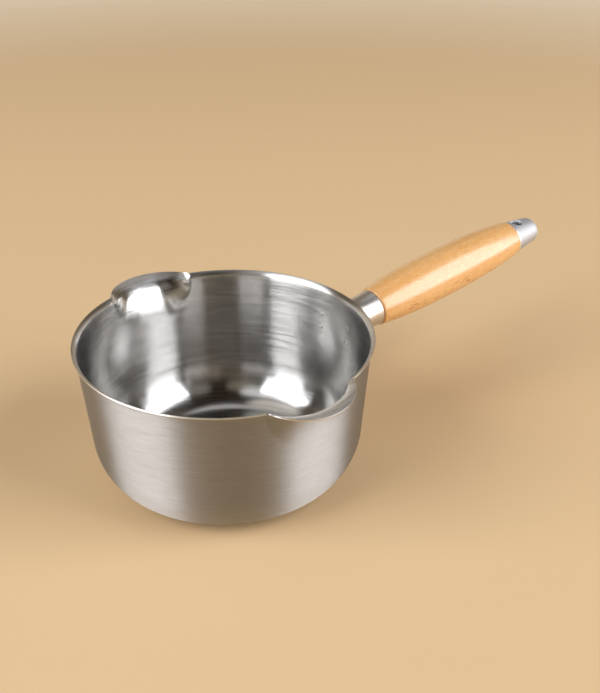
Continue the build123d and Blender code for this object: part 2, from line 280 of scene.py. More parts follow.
def turned_lines(tree, along, spoke, spacing, turns, detail):
    """Noise drawn out round the axis: lines this far apart in metres, broken this many times."""
    radius = add(tree, "VectorMath", {"operation": "LENGTH"}, {0: spoke})
    unit = add(tree, "VectorMath", {"operation": "NORMALIZE"}, {0: spoke})
    spun = add(tree, "VectorMath", {"operation": "SCALE", "Scale": turns},
               {0: unit.outputs["Vector"]})
    depth = add(tree, "Math", {"operation": "DIVIDE", 1: spacing}, {0: radius.outputs["Value"]})
    height = add(tree, "Math", {"operation": "DIVIDE", 1: spacing}, {0: along})
    mixed = add(tree, "Math", {"operation": "ADD"},
                {0: depth.outputs["Value"], 1: height.outputs["Value"]})
    noise = add(tree, "TexNoise", {"noise_dimensions": "4D", "Scale": 1.0, "Detail": detail,
                                   "Roughness": 0.6},
                {"Vector": spun.outputs["Vector"], "W": mixed.outputs["Value"]})
    return noise.outputs["Fac"]


print("grooves of the pan are drawn", INSIDE_GROOVES, "and", OUTSIDE_GROOVES, "mm apart")

# %% [markdown]
# Stainless steel is a slightly warm grey that reflects about six tenths of the light. The
# roughness is the spread of the grooves. The base mirrors a little more sharply than the wall,
# and the lip less so. One material can do all of that, because its roughness may change with
# height.

# %% Recipe for steel
# Nearly all of a noise lies between these two values
NOISE_LOW, NOISE_HIGH = 0.35, 0.65
FINE_SHARE, BROADER = 0.75, 5
# Heights in millimetres between which the roughness changes
BASE_ZONE, LIP_ZONE = (4, 14), (76, 80)


def steel(name, code, roughness, anisotropy, axis, spacing, turns, depth, spread=0.05,
          contrast=0.04, base=0, lip=0):
    """Stainless steel (metal, no coat) with grooves that run round an axis.

    The grooves lie this spacing apart, break this many times a turn and are this deep. They
    change the roughness by the spread and the tone by the contrast. On the base and on the
    lip of the pan, the last two are added to the roughness.
    """
    made, tree, shader = new_material(name)
    along, spoke, way = round_axis(tree, *axis)
    fine = turned_lines(tree, along, spoke, spacing, turns, 3)
    broad = turned_lines(tree, along, spoke, spacing * BROADER, turns / 2, 2)
    less = add(tree, "Math", {"operation": "MULTIPLY", 1: 1 - FINE_SHARE}, {0: broad})
    both = add(tree, "Math", {"operation": "MULTIPLY_ADD", 1: FINE_SHARE},
               {0: fine, 2: less.outputs["Value"]})
    tone = add(tree, "MapRange", {1: NOISE_LOW, 2: NOISE_HIGH, 3: 1 - contrast, 4: 1 + contrast},
               {0: both.outputs["Value"]})
    tint = add(tree, "VectorMath", {"operation": "SCALE", 0: linear(code)[:3]},
               {"Scale": tone.outputs["Result"]})
    rough = add(tree, "MapRange", {1: NOISE_LOW, 2: NOISE_HIGH, 3: roughness - spread,
                                   4: roughness + spread}, {0: both.outputs["Value"]})
    near_rim = add(tree, "MapRange", {1: LIP_ZONE[0] * MM, 2: LIP_ZONE[1] * MM, 3: 0.0, 4: lip},
                   {0: along})
    on_base = add(tree, "MapRange", {1: BASE_ZONE[0] * MM, 2: BASE_ZONE[1] * MM, 3: base, 4: 0.0},
                  {0: along})
    rough = add(tree, "Math", {"operation": "ADD"},
                {0: rough.outputs["Result"], 1: near_rim.outputs["Result"]})
    rough = add(tree, "Math", {"operation": "ADD"},
                {0: rough.outputs["Value"], 1: on_base.outputs["Result"]})
    bump = add(tree, "Bump", {"Strength": 1.0, "Distance": depth},
               {"Height": both.outputs["Value"]})
    shader.inputs["Metallic"].default_value = 1.0
    shader.inputs["Anisotropic"].default_value = anisotropy
    # A quarter turn, because the spread is across the grooves and not along them
    shader.inputs["Anisotropic Rotation"].default_value = 0.25
    tree.links.new(tint.outputs["Vector"], shader.inputs["Base Color"])
    tree.links.new(rough.outputs["Value"], shader.inputs["Roughness"])
    tree.links.new(bump.outputs["Normal"], shader.inputs["Normal"])
    tree.links.new(way, shader.inputs["Tangent"])
    return made


print("roughness changes up to", BASE_ZONE[1], "mm and again from", LIP_ZONE[0], "mm")

# %% [markdown]
# The inside was polished finer than the outside, so the two skins get the same recipe with
# other numbers, and the sheared edge of the rim a third one. Three materials are simpler than
# one that has to tell the skins apart, because the mesh already knows which face is which.

# %% Steel of the pan
PAN_AXIS = ((0, 0, 0), (0, 0, 1))
inside_steel = steel("steel_polished_inside", "#D2D1CF", 0.185, 1.0, PAN_AXIS,
                     INSIDE_GROOVES * MM, turns=3, depth=0.0009 * MM, spread=0.045,
                     contrast=0.15, base=-0.07, lip=0.12)
outside_steel = steel("steel_brushed_outside", "#A9A7A5", 0.5, 0.95, PAN_AXIS,
                      OUTSIDE_GROOVES * MM, turns=8, depth=0.004 * MM, contrast=0.12)
edge_steel = steel("steel_sheared_rim", "#D2CFCB", 0.3, 0.3, PAN_AXIS,
                   FITTING_GROOVES * MM, turns=9, depth=0.003 * MM)
print("pan steels:", [made.name for made in (inside_steel, outside_steel, edge_steel)])

# %% [markdown]
# ## The pan
#
# The real pan starts as a flat disc that a press draws into a cup. Here half of its section is
# drawn from one vertex, as a string of points, and spun round once. The points follow the
# inner skin: the flat base, two arcs for the corner, the leaning wall and the arc of the lip.

# %% Sizes of the pan
SHEET = 0.8
LIP_RADIUS, RIM_HEIGHT = 78.0, 81.0
WALL_TAPER = 5.0
LOW_CORNER, HIGH_CORNER, CORNER_SPLIT = 28.0, 32.0, 29.0
LIP_BEND, LIP_END_ANGLE = 3.6, 73.0
SPOUT_DEPTH = 28.0


def side(angle):
    """Unit step square to a skin that climbs at this angle from straight up, outwards."""
    return Vector((cos(radians(angle)), -sin(radians(angle))))


lip_end = Vector((LIP_RADIUS, RIM_HEIGHT)) - SHEET * Vector((side(LIP_END_ANGLE).x, 0))
lip_centre = lip_end + LIP_BEND * side(LIP_END_ANGLE)
lip_start = lip_centre - LIP_BEND * side(WALL_TAPER)


def wall_radius(height):
    """Radius of the inner skin at this height on the wall."""
    return lip_start.x - (lip_start.y - height) * tan(radians(WALL_TAPER))


low_skin, high_skin = LOW_CORNER - SHEET, HIGH_CORNER - SHEET
high_offset = (low_skin - high_skin) * side(CORNER_SPLIT)
corner_top = high_offset + high_skin * side(WALL_TAPER)
wall_foot = LOW_CORNER + corner_top.y
flat_radius = wall_radius(wall_foot) - corner_top.x
print("flat base", round(2 * flat_radius, 1), "mm across")
print("lip starts at", round(lip_start.y, 2), "mm")

# %% [markdown]
# Three helpers do what a lathe worker's hands do: go to the next point, follow an arc, and
# turn the section once round. The points could be joined with a curve object too, but a
# bmesh keeps every point where the drawing has it.

# %% Helpers that draw a section
# Points closer than the first are one, and lengths closer than the second count as equal
SAME_POINT, SAME_LENGTH = 0.001, 0.01


def step_to(bm, point, x, z):
    """Extrudes one more point of a section, to x and z in the section's plane."""
    made = bmesh.ops.extrude_vert_indiv(bm, verts=[point])["verts"][0]
    made.co = Vector((x, 0, z))
    return made


def bend(bm, point, centre, angle, count):
    """Spins the last point of a section round a centre, towards +Z when the angle is positive."""
    made = bmesh.ops.spin(bm, geom=[point], cent=(centre[0], 0, centre[1]), axis=(0, -1, 0),
                          angle=radians(angle), steps=count)
    return [v for v in made["geom_last"] if isinstance(v, bmesh.types.BMVert)][0]


def lathe(bm, count):
    """Spins the section once round Z, and joins the seam and the poles."""
    bmesh.ops.spin(bm, geom=bm.verts[:] + bm.edges[:], cent=(0, 0, 0), axis=(0, 0, 1),
                   angle=2 * pi, steps=count, use_merge=True)
    bmesh.ops.remove_doubles(bm, verts=bm.verts, dist=SAME_POINT)
    bmesh.ops.recalc_face_normals(bm, faces=bm.faces)


print("sections are drawn in millimetres, and points closer than", SAME_POINT, "are one")

# %% [markdown]
# The section of the pan now goes from the middle of the base to the edge of the lip. Points
# at one even distance would be simpler, but many are needed where a spout will be pressed and
# few on the flat base, so each stretch has its own number of steps.

# %% Draw the section and spin it
SPOUT_FOOT = RIM_HEIGHT - SPOUT_DEPTH
BASE_STEPS, LOW_STEPS, HIGH_STEPS, WALL_STEPS, SPOUT_STEPS, LIP_STEPS = 4, 14, 7, 10, 26, 12
# Degrees and steps of five turns that together go once round, finer where the spouts will be
TURNS = ((65, 52), (50, 140), (130, 104), (50, 140), (65, 52))

pan = bmesh.new()
point = pan.verts.new((0, 0, SHEET))
for k in range(BASE_STEPS):
    point = step_to(pan, point, flat_radius * (k + 1) / BASE_STEPS, SHEET)
point = bend(pan, point, (flat_radius, LOW_CORNER), 90 - CORNER_SPLIT, LOW_STEPS)
high_centre = Vector((flat_radius, LOW_CORNER)) + high_offset
point = bend(pan, point, high_centre, CORNER_SPLIT - WALL_TAPER, HIGH_STEPS)
for low, high, count in ((wall_foot, SPOUT_FOOT, WALL_STEPS),
                         (SPOUT_FOOT, lip_start.y, SPOUT_STEPS)):
    for k in range(count):
        height = low + (high - low) * (k + 1) / count
        point = step_to(pan, point, wall_radius(height), height)
point = bend(pan, point, lip_centre, WALL_TAPER - LIP_END_ANGLE, LIP_STEPS)
print("the section ends at", [round(c, 2) for c in point.co])
print("and the lip at", [round(c, 2) for c in lip_end])

ring = pan.verts[:] + pan.edges[:]
for angle, count in TURNS:
    ring = bmesh.ops.spin(pan, geom=ring, cent=(0, 0, 0), axis=(0, 0, 1), angle=radians(angle),
                          steps=count)["geom_last"]
bmesh.ops.remove_doubles(pan, verts=pan.verts, dist=SAME_POINT)
bmesh.ops.recalc_face_normals(pan, faces=pan.faces)

# %% [markdown]
# The spouts are pressed after the cup is drawn: a round punch pushes the wall out against a
# die, whose edge rounds the two creases. They could be sculpted by eye. Here every point is
# moved as the punch and the die would move it, which keeps the creases true. The punch is broad
# at the foot of the spout and tighter at the rim.

# %% Press the two spouts
OVERHANG, DIP = 13.2, 1.6
SPOUT_BEND, RAMP_ANGLE, SPOUT_END_ANGLE = 13.3, 58.0, 97.0
PUNCH_AT_RIM, PUNCH_AT_LIP, PUNCH_AT_FOOT, PUNCH_POWER = 26.2, 31.0, 70.0, 1.2
CREASE = 3.0

spout_end = Vector((LIP_RADIUS + OVERHANG, RIM_HEIGHT - DIP))
spout_centre = spout_end + SPOUT_BEND * side(SPOUT_END_ANGLE)
ramp_end = spout_centre - SPOUT_BEND * side(RAMP_ANGLE)
foot = Vector((wall_radius(SPOUT_FOOT), SPOUT_FOOT))


def ramp(share):
    """A point on the spout's floor, on a smooth curve from the wall to the lip."""
    chord = (ramp_end - foot).length
    leave = chord * Vector((sin(radians(WALL_TAPER)), cos(radians(WALL_TAPER))))
    arrive = chord * Vector((sin(radians(RAMP_ANGLE)), cos(radians(RAMP_ANGLE))))
    return ((2 * share**3 - 3 * share**2 + 1) * foot + (share**3 - 2 * share**2 + share) * leave
            + (3 * share**2 - 2 * share**3) * ramp_end + (share**3 - share**2) * arrive)


def pressed(across, radius, reach, punch):
    """Distance from the pan's axis at this angle from the middle of the spout."""
    centre, edge = reach - punch, radius + CREASE
    wall_angle = acos((centre**2 + edge**2 - (punch + CREASE)**2) / (2 * centre * edge))
    if across >= wall_angle:
        return radius
    lean = atan2(edge * sin(wall_angle), edge * cos(wall_angle) - centre)
    start = atan2(punch * sin(lean), centre + punch * cos(lean))
    if across >= start:
        past = wall_angle - across
        return edge * cos(past) - sqrt(CREASE**2 - (edge * sin(past))**2)
    return centre * cos(across) + sqrt(punch**2 - (centre * sin(across))**2)


def press(vert):
    """Moves one point of the inner skin, and says if it moved."""
    x, y, height = vert.co
    radius = hypot(x, y)
    across = abs(abs(atan2(y, x)) - pi / 2)
    if height <= SPOUT_FOOT + SAME_LENGTH:
        return False
    share = (height - SPOUT_FOOT) / (lip_start.y - SPOUT_FOOT)
    if height <= lip_start.y + SAME_LENGTH:
        tip = ramp(share)
        punch = PUNCH_AT_FOOT + (PUNCH_AT_LIP - PUNCH_AT_FOOT) * share**PUNCH_POWER
    else:
        angle = degrees(atan2(height - lip_centre.y, lip_centre.x - radius))
        turn = (angle - WALL_TAPER) / (LIP_END_ANGLE - WALL_TAPER)
        tip = spout_centre - SPOUT_BEND * side(RAMP_ANGLE + (SPOUT_END_ANGLE - RAMP_ANGLE) * turn)
        punch = PUNCH_AT_LIP + (PUNCH_AT_RIM - PUNCH_AT_LIP) * turn
    if tip.x - radius < SAME_LENGTH:
        return False
    moved = pressed(across, radius, tip.x, punch)
    lift = (moved - radius) * (tip.y - height) / (tip.x - radius)
    vert.co = (x * moved / radius, y * moved / radius, height + lift)
    return moved != radius


print(sum(press(vert) for vert in pan.verts), "points pressed, out to", spout_end.x, "mm")

# %% [markdown]
# The inner skin now gets the thickness of the sheet on its outer side, as its own finish, and a
# bevel takes the sharpness off the sheared rim. Both could be drawn into the section, but two
# modifiers do it for any skin, so the ferrule can use them again.

# %% Give the sheet its thickness
RIM_ROUND = 0.28


def finish_sheet(piece, thickness, rounded, angle):
    """Thickens a skin behind its faces, and rounds the edges sharper than an angle."""
    sheet = piece.modifiers.new("sheet", "SOLIDIFY")
    sheet.thickness = thickness * MM
    sheet.offset = -1
    sheet.use_even_offset = True
    edge = piece.modifiers.new("edge", "BEVEL")
    edge.width = rounded * MM
    edge.segments = 3
    edge.limit_method = "ANGLE"
    edge.angle_limit = radians(angle)
    edge.harden_normals = True
    return sheet


if sum(face.normal.z for face in pan.faces if face.calc_center_median().z < SHEET * 2) < 0:
    bmesh.ops.reverse_faces(pan, faces=pan.faces)
bmesh.ops.scale(pan, verts=pan.verts, vec=(MM, MM, MM))
pan_piece = add_piece("drawn_pan", pan, inside_steel, outside_steel, edge_steel)

sheet = finish_sheet(pan_piece, SHEET, RIM_ROUND, 45)
sheet.material_offset = 1
sheet.material_offset_rim = 2

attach(pan_piece, "root")
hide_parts("pan_body")

# %% [markdown]
# ## Spot welds
#
# Four spot welds hold the hidden bracket. Each electrode left a low round button on the inner
# skin. They could be four spheres, but a button spun from a few points has the flat rise of a
# real one. It is spun once, and set square to the wall four times.

# %% Four welds
WELD_RADIUS, WELD_PIP, WELD_LENGTH = 1.0, 0.25, 2.05
WELD_DEPTHS, WELD_HALF_SPACING = (16.3, 24.0), 10.5
WELD_BEND_STEPS, WELD_TURN_STEPS = 5, 32

weld_steel, tree, shader = new_material("steel_spot_weld")
# Cast back from the melt and pressed by copper, so a little darker and duller than the sheet
shader.inputs["Base Color"].default_value = linear("#BDB8B1")
shader.inputs["Metallic"].default_value = 1.0
shader.inputs["Roughness"].default_value = 0.3

dome = (WELD_RADIUS**2 + WELD_PIP**2) / (2 * WELD_PIP)
dome_angle = degrees(asin(WELD_RADIUS / dome))
button = bmesh.new()
point = button.verts.new((0, 0, -WELD_PIP))
point = bend(button, point, (0, dome - WELD_PIP), dome_angle, WELD_BEND_STEPS)
point = step_to(button, point, WELD_RADIUS, WELD_LENGTH)
bend(button, point, (0, WELD_LENGTH + WELD_PIP - dome), dome_angle, WELD_BEND_STEPS)
lathe(button, WELD_TURN_STEPS)
pattern = bpy.data.meshes.new("weld_pattern")
button.to_mesh(pattern)
button.free()

welds = bmesh.new()
square = Matrix.Rotation(radians(90 + WALL_TAPER), 4, "Y")
for depth in WELD_DEPTHS:
    height = RIM_HEIGHT - depth
    radius = wall_radius(height)
    for way in (-1, 1):
        turn = Matrix.Rotation(way * asin(WELD_HALF_SPACING / radius), 4, "Z")
        on_wall = turn @ Matrix.Translation((radius, 0, height)) @ square
        old = set(welds.verts)
        welds.from_mesh(pattern)
        bmesh.ops.transform(welds, matrix=on_wall, verts=[v for v in welds.verts if v not in old])
bpy.data.meshes.remove(pattern)
bmesh.ops.scale(welds, verts=welds.verts, vec=(MM, MM, MM))
weld_piece = add_piece("weld_buttons", welds, weld_steel)
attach(weld_piece, "root")
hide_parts("spot_welds")

# %% [markdown]
# ## Along the handle
#
# Everything on the handle is turned about one axis that climbs away from the pan. It is
# easiest to turn each piece upright at the origin and then lay it on that axis with one matrix.
# Its X is the pan's Y, its Y is up, and its Z runs out along the handle, from the front end of
# the wood.

# %% The handle's own frame
HANDLE_RISE = 6.57
WOOD_START = (LIP_RADIUS + 23.05, 0, RIM_HEIGHT - 16.13)
WIDTH_SHARE = 1.04
# Tells one turned radius from the next, in millimetres
MARGIN = 0.1

rise = radians(HANDLE_RISE)
handle_frame = Matrix.Translation(WOOD_START) @ Matrix((
    (0, -sin(rise), cos(rise)), (1, 0, 0), (0, cos(rise), sin(rise)))).to_4x4()
HANDLE_AXIS = (tuple(c * MM for c in WOOD_START), (cos(rise), 0, sin(rise)))


def lay_on_handle(bm):
    """Takes an upright piece to its place on the handle, in metres."""
    bmesh.ops.transform(bm, matrix=handle_frame, verts=bm.verts)
    bmesh.ops.scale(bm, verts=bm.verts, vec=(MM, MM, MM))


def widen(bm, core):
    """Makes everything outside a round core a little wider than it is high."""
    for vert in bm.verts:
        if hypot(vert.co.x, vert.co.y) > core:
            vert.co.x *= WIDTH_SHARE


print("handle axis climbs", HANDLE_RISE, "degrees")

# %% [markdown]
# ## Ferrule
#
# The ferrule is a sleeve of thin steel that keeps the flame off the wood. It was drawn with a
# narrow waist, a round mouth for the wood and a flared root that fits the curve of the pan. The
# sleeve is spun and widened, and then its root is slid along the axis until it meets the wall.

# %% Ferrule
MOUTH_AT, WAIST_AT = -0.4, -11.0
MOUTH_RADIUS, WAIST_RADIUS, ROOT_RADIUS = 10.5, 9.7, 13.8
ROOT_WIDTH_SHARE, FLARE_POWER = 1.12, 1.4
SEAT_GAP = 0.05
FERRULE_SHEET, FERRULE_ROUND = 0.8, 0.3
FERRULE_STEPS, ROUND_STEPS = 40, 128
root_at = (wall_radius(WOOD_START[2]) + SHEET - WOOD_START[0]) / cos(rise)


def flare(distance):
    """0 from the waist to the mouth, and up to 1 at the root."""
    return max(0, (distance - WAIST_AT) / (root_at - WAIST_AT)) ** FLARE_POWER


def ferrule_radius(distance):
    """Outer radius of the sleeve before it is widened."""
    if distance > WAIST_AT:
        share = (distance - WAIST_AT) / (MOUTH_AT - WAIST_AT)
        return WAIST_RADIUS + (MOUTH_RADIUS - WAIST_RADIUS) * share**2
    return WAIST_RADIUS + (ROOT_RADIUS - WAIST_RADIUS) * flare(distance)


def to_wall(x, y):
    """How far along the handle the wall lies, for a line at x and y beside the axis."""
    # Each round steps by the gap that is left, which soon leaves none
    distance = root_at
    outside = (SHEET + SEAT_GAP) / cos(radians(WALL_TAPER))
    for _ in range(20):
        place = handle_frame @ Vector((x, y, distance))
        gap = hypot(place.x, place.y) - wall_radius(place.z) - outside
        distance -= gap / cos(rise)
    return distance


ferrule = bmesh.new()
point = ferrule.verts.new((ferrule_radius(MOUTH_AT), 0, MOUTH_AT))
for k in range(FERRULE_STEPS):
    distance = MOUTH_AT + (root_at - MOUTH_AT) * (k + 1) / FERRULE_STEPS
    point = step_to(ferrule, point, ferrule_radius(distance), distance)
lathe(ferrule, ROUND_STEPS)
for vert in ferrule.verts:
    vert.co.x *= WIDTH_SHARE + (ROOT_WIDTH_SHARE - WIDTH_SHARE) * flare(vert.co.z)
for vert in ferrule.verts:
    share = max(0, (vert.co.z - WAIST_AT) / (root_at - WAIST_AT))
    vert.co.z += (to_wall(vert.co.x, vert.co.y) - root_at) * share
face = ferrule.faces[:][0]
outwards = Vector((face.calc_center_median().x, face.calc_center_median().y, 0))
if face.normal.dot(outwards) < 0:
    bmesh.ops.reverse_faces(ferrule, faces=ferrule.faces)
lay_on_handle(ferrule)

# A drawn and buffed sleeve, smoother than the outside of the pan, so it mirrors more sharply
ferrule_steel = steel("steel_buffed_ferrule", "#DDD8D2", 0.4, 0.3, HANDLE_AXIS,
                      FITTING_GROOVES * MM, turns=7, depth=0.003 * MM, spread=0.03)
ferrule_piece = add_piece("ferrule_sleeve", ferrule, ferrule_steel)
finish_sheet(ferrule_piece, FERRULE_SHEET, FERRULE_ROUND, 50)
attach(ferrule_piece, "root")
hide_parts("ferrule")

# %% [markdown]
# ## Beech
#
# Beech is a pale pinkish brown wood. A copy lathe cut this handle from a stick, and clear
# lacquer was sprayed on. Three things make it beech to the eye: fine grain lines along the
# stick, a slow change of tone from its growth rings, and short dark flecks where the rays meet
# the surface. Each is a noise that is stretched along the stick.

# %% Lacquered beech
# Across the stick, in the handle's own frame, to one of the two sides where the rays end
RAY_SIDE = (0.55, -0.835, 0.0)

beech, tree, shader = new_material("beech_clear_lacquer")
where = add(tree, "TexCoord").outputs["Object"]
stick = add(tree, "Mapping", {"vector_type": "TEXTURE", "Location": HANDLE_AXIS[0],
                              "Rotation": (0, pi / 2 - rise, 0)}, {"Vector": where})


def stretched(across, length, detail, warp=0.0, offset=0.0):
    """Noise in cells this wide and this long, in metres, along the stick."""
    scaled = add(tree, "Mapping", {"Scale": (1 / across, 1 / across, 1 / length),
                                   "Location": (offset, offset, offset)},
                 {"Vector": stick.outputs["Vector"]})
    noise = add(tree, "TexNoise", {"Scale": 1.0, "Detail": detail, "Roughness": 0.55,
                                   "Distortion": warp}, {"Vector": scaled.outputs["Vector"]})
    return noise.outputs["Fac"]


def blend(share, low, high, first, second):
    """Mixes two colours where a noise climbs from low to high."""
    ramp = add(tree, "MapRange", {1: low, 2: high}, {0: share})
    mix = add(tree, "Mix", {"data_type": "RGBA"}, {0: ramp.outputs["Result"]})
    for socket, source in ((6, first), (7, second)):
        if isinstance(source, str):
            mix.inputs[socket].default_value = linear(source)
        else:
            tree.links.new(source, mix.inputs[socket])
    return mix.outputs[2]


rings = stretched(7 * MM, 90 * MM, detail=2, warp=0.6)
grain = stretched(0.5 * MM, 5 * MM, detail=5, warp=0.3, offset=3.1)
flecks = stretched(1.2 * MM, 3.6 * MM, detail=0, warp=0.4, offset=7.7)
patches = stretched(9 * MM, 20 * MM, detail=0, offset=5.3)
tone = blend(rings, 0.3, 0.7, "#DDA562", "#E5B478")
tone = blend(grain, 0.42, 0.75, tone, "#CC924E")
# The rays meet the surface end on along two sides of the stick, one of them low in front
flat = add(tree, "VectorMath", {"operation": "MULTIPLY", 1: (1, 1, 0)},
           {0: stick.outputs["Vector"]})
spoke = add(tree, "VectorMath", {"operation": "NORMALIZE"}, {0: flat.outputs["Vector"]})
ray_side = add(tree, "VectorMath", {"operation": "DOT_PRODUCT", 1: RAY_SIDE},
               {0: spoke.outputs["Vector"]})
ray_side = add(tree, "Math", {"operation": "ABSOLUTE"}, {0: ray_side.outputs["Value"]})
ray_side = add(tree, "MapRange", {1: 0.7, 2: 0.95, 3: 0.8, 4: 1.0},
               {0: ray_side.outputs["Value"]})
crowd = add(tree, "MapRange", {1: 0.3, 2: 0.6, 3: 0.85, 4: 1.0}, {0: patches})
fleck_places = add(tree, "Math", {"operation": "MULTIPLY"},
                   {0: flecks, 1: crowd.outputs["Result"]})
fleck_places = add(tree, "Math", {"operation": "MULTIPLY"},
                   {0: fleck_places.outputs["Value"], 1: ray_side.outputs["Result"]})
tone = blend(fleck_places.outputs["Value"], 0.62, 0.67, tone, "#BC8349")
bump = add(tree, "Bump", {"Strength": 0.5, "Distance": 0.02 * MM}, {"Height": grain})
tree.links.new(tone, shader.inputs["Base Color"])
tree.links.new(bump.outputs["Normal"], shader.inputs["Normal"])
shader.inputs["Roughness"].default_value = 0.45
shader.inputs["IOR"].default_value = 1.5
shader.inputs["Coat Weight"].default_value = 1.0
shader.inputs["Coat Roughness"].default_value = 0.24
shader.inputs["Coat IOR"].default_value = 1.64
print("beech is made of", len(tree.nodes), "nodes")

# %% [markdown]
# The barrel swells towards the middle and ends in a small round at each end. One closed
# section, with the tenon, the bore for the tie rod and the hollow for the cap, is spun as a
# lathe would cut it. The barrel could be a scaled sphere with its ends cut off, but its real
# curve is flatter in the middle, so the radius comes from a formula with a power in it.

# %% Turn the wooden handle
WOOD_LENGTH = 109.8
MID_RADIUS, FRONT_RADIUS, BACK_RADIUS = 13.95, 11.0, 10.5
BELLY, BELLY_POWER = 0.46, 2.5
BORE_RADIUS, TENON_LENGTH = 3.3, 9.0
TENON_PLAY = 0.3
TENON_RADIUS = WAIST_RADIUS - FERRULE_SHEET - TENON_PLAY
HOLLOW_RADIUS, HOLLOW_DEPTH = 6.3, 11.0
FRONT_ROUND, BACK_ROUND = 0.9, 0.5
WOOD_STEPS = 72


def wood_radius(distance):
    """Radius of the barrel, this far from its front end."""
    share = distance / WOOD_LENGTH
    end, stretch = (FRONT_RADIUS, BELLY) if share < BELLY else (BACK_RADIUS, 1 - BELLY)
    run = abs(share - BELLY) / stretch
    return MID_RADIUS + (end - MID_RADIUS) * run**BELLY_POWER


wood = bmesh.new()
first = wood.verts.new((BORE_RADIUS, 0, -TENON_LENGTH))
point = step_to(wood, first, TENON_RADIUS, -TENON_LENGTH)
point = step_to(wood, point, TENON_RADIUS, 0)
for k in range(WOOD_STEPS + 1):
    distance = WOOD_LENGTH * k / WOOD_STEPS
    point = step_to(wood, point, wood_radius(distance), distance)
point = step_to(wood, point, HOLLOW_RADIUS, WOOD_LENGTH)
point = step_to(wood, point, HOLLOW_RADIUS, WOOD_LENGTH - HOLLOW_DEPTH)
point = step_to(wood, point, BORE_RADIUS, WOOD_LENGTH - HOLLOW_DEPTH)
wood.edges.new((point, first))
lathe(wood, ROUND_STEPS)


def ring_edges(bm, radius, height):
    """The edges of one turned corner."""
    return [e for e in bm.edges
            if all(abs(v.co.z - height) < SAME_LENGTH
                   and abs(hypot(v.co.x, v.co.y) - radius) < SAME_LENGTH for v in e.verts)]


for radius, height, amount in ((FRONT_RADIUS, 0, FRONT_ROUND),
                               (BACK_RADIUS, WOOD_LENGTH, BACK_ROUND)):
    bmesh.ops.bevel(wood, geom=ring_edges(wood, radius, height), offset=amount,
                    offset_type="OFFSET", segments=5, profile=0.5, affect="EDGES", material=-1)
widen(wood, HOLLOW_RADIUS + MARGIN)
lay_on_handle(wood)
wood_piece = add_piece("turned_handle", wood, beech)
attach(wood_piece, "root")
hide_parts("wooden_handle")

# %% [markdown]
# ## End cap
#
# The cap is a turned steel plug with a round nose. It screws on to the tie rod and clamps the
# handle, and it has a cross hole to hang the pan by. A cone with a bevelled end would come
# close, but a spun section gives the true nose. It is tipped a little downwards, as the real
# one is, and then drilled.

# %% Turn the end cap
CAP_LENGTH, CAP_BASE, CAP_END, CAP_NOSE = 21.0, 10.0, 7.15, 4.8
CAP_BEVEL, CAP_DROOP = 0.6, 0.8
SPIGOT_RADIUS, THREAD_RADIUS, THREAD_DEPTH = 5.6, 3.05, 2.2
FLAT_WASHER, SPRING_WASHER = 1.6, 1.5
SPRING_END = WOOD_LENGTH - HOLLOW_DEPTH + FLAT_WASHER + SPRING_WASHER
CAP_STEPS, NOSE_STEPS, CAP_ROUND_STEPS = 44, 16, 160

slope = (CAP_BASE - CAP_END) / CAP_LENGTH
lean = atan2(slope, 1)
nose_z = WOOD_LENGTH + CAP_LENGTH - CAP_NOSE
nose_x = CAP_BASE - slope * (CAP_LENGTH - CAP_NOSE) - CAP_NOSE / cos(lean)
taper_end = nose_z + CAP_NOSE * sin(lean)

cap = bmesh.new()
point = cap.verts.new((0, 0, WOOD_LENGTH + THREAD_DEPTH))
for x, z in ((THREAD_RADIUS, WOOD_LENGTH + THREAD_DEPTH), (THREAD_RADIUS, SPRING_END),
             (SPIGOT_RADIUS, SPRING_END), (SPIGOT_RADIUS, WOOD_LENGTH),
             (CAP_BASE - CAP_BEVEL, WOOD_LENGTH)):
    point = step_to(cap, point, x, z)
for k in range(CAP_STEPS + 1):
    z = WOOD_LENGTH + CAP_BEVEL + (taper_end - WOOD_LENGTH - CAP_BEVEL) * k / CAP_STEPS
    point = step_to(cap, point, CAP_BASE - slope * (z - WOOD_LENGTH), z)
point = bend(cap, point, (nose_x, nose_z), 90 - degrees(lean), NOSE_STEPS)
step_to(cap, point, 0, WOOD_LENGTH + CAP_LENGTH)
lathe(cap, CAP_ROUND_STEPS)
widen(cap, SPIGOT_RADIUS + MARGIN)
for vert in cap.verts:
    vert.co.y -= CAP_DROOP * max(0, vert.co.z - WOOD_LENGTH) / CAP_LENGTH
lay_on_handle(cap)
print("cap turned with", len(cap.verts), "points")

# %% [markdown]
# The cross hole is drilled with a Boolean, as a drill would, and the finished mesh is kept in
# place of the modifier. The hole could also be cut into the section's rings by hand, which is
# slow and never quite round.

# %% Drill the hanging hole
HOLE_RADIUS, HOLE_BACK = 3.3, 7.0
DRILL_LENGTH, DRILL_STEPS = 40, 96

# Turned steel with a satin finish, which has a soft sheen and no sharp reflection
cap_steel = steel("steel_satin_cap", "#C6C7CA", 0.66, 0.2, HANDLE_AXIS,
                  FITTING_GROOVES * MM, turns=6, depth=0.004 * MM)
turned_cap = add_piece("turned_cap", cap, cap_steel)

drill_bm = bmesh.new()
bmesh.ops.create_cone(drill_bm, cap_ends=True, segments=DRILL_STEPS, radius1=HOLE_RADIUS,
                      radius2=HOLE_RADIUS, depth=DRILL_LENGTH)
bmesh.ops.rotate(drill_bm, verts=drill_bm.verts, cent=(0, 0, 0),
                 matrix=Matrix.Rotation(pi / 2, 3, "X"))
bmesh.ops.translate(drill_bm, verts=drill_bm.verts, vec=(0, 0, WOOD_LENGTH + HOLE_BACK))
lay_on_handle(drill_bm)
drill = add_piece("drill", drill_bm)

